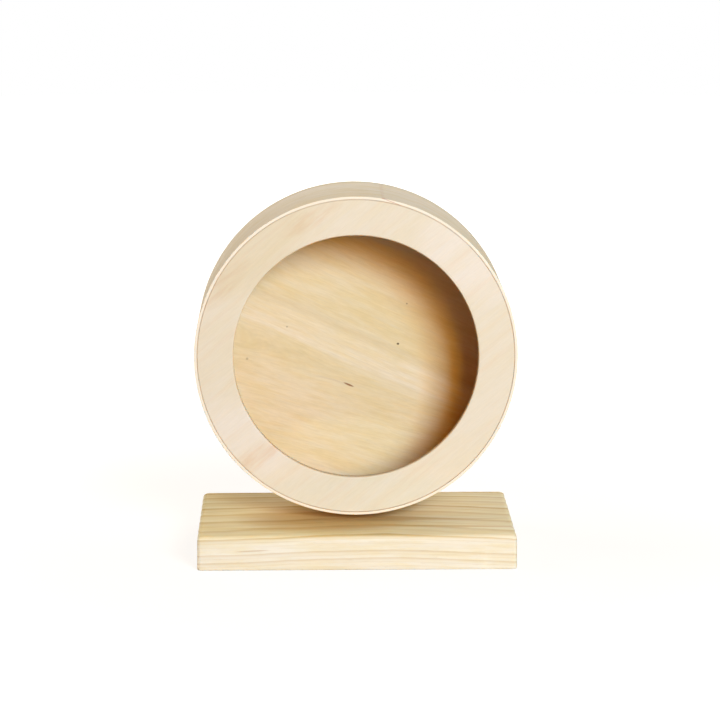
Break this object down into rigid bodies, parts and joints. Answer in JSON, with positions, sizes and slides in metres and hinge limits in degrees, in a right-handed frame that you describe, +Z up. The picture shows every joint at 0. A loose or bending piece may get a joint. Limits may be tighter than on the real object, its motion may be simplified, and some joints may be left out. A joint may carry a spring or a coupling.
{
  "type": "rodent exercise wheel",
  "caption": "Free-standing wooden running wheel for small rodents: an open-fronted drum on a ball-bearing axle, held by a post behind it on a flat board.",
  "frame": {"origin": "centre of the base board's underside, on the surface that the wheel stands on", "axes": "+Z up, -Y towards the drum's open side, +X to the right as seen from the open side"},
  "size_m": [0.2, 0.152, 0.225],
  "materials": {
    "base_pine": "planed and sanded softwood, unfinished",
    "post_pine": "planed and sanded softwood, unfinished",
    "ring_ply": "sanded pale plywood, unfinished",
    "band_ply": "thin flexible plywood, unfinished",
    "back_ply": "sanded plywood, unfinished",
    "hub_ply": "sanded plywood, unfinished",
    "bearing_steel": "ground bearing steel",
    "ball_steel": "polished bearing steel",
    "shield_steel": "pressed sheet steel",
    "cage_nylon": "natural nylon",
    "zinc_steel": "bright zinc plate",
    "nut_steel": "polished plate"
  },
  "bodies": {
    "stand": {"base_board": "base_pine", "rear_post": "post_pine", "post_screws": "zinc_steel", "front_outer_race": "bearing_steel", "front_shields": "shield_steel", "rear_outer_race": "bearing_steel", "rear_shields": "shield_steel"},
    "wheel": {"rim_band": "band_ply", "front_ring": "ring_ply", "back_disc": "back_ply", "hub_block": "hub_ply", "axle_bolt": "zinc_steel", "hub_washer": "zinc_steel", "race_spacer": "zinc_steel", "nut_washer": "zinc_steel", "dome_nut": "nut_steel", "front_inner_race": "bearing_steel", "rear_inner_race": "bearing_steel"},
    "front_ball_set": {"front_balls": "ball_steel", "front_ball_cage": "cage_nylon"},
    "rear_ball_set": {"rear_balls": "ball_steel", "rear_ball_cage": "cage_nylon"}
  },
  "joints": [
    {"name": "wheel_spin", "type": "hinge", "parent": "stand", "child": "wheel", "pos_m": [0, 0.068, 0.125], "axis": [0, 1, 0], "continuous": true},
    {"name": "front_balls_roll", "type": "hinge", "parent": "stand", "child": "front_ball_set", "pos_m": [0, 0.0615, 0.125], "axis": [0, 1, 0], "continuous": true},
    {"name": "rear_balls_roll", "type": "hinge", "parent": "stand", "child": "rear_ball_set", "pos_m": [0, 0.0745, 0.125], "axis": [0, 1, 0], "continuous": true}
  ],
  "couplings": [
    {"joint": "front_balls_roll", "follows": "wheel_spin", "ratio": 0.3677},
    {"joint": "rear_balls_roll", "follows": "wheel_spin", "ratio": 0.3677}
  ]
}
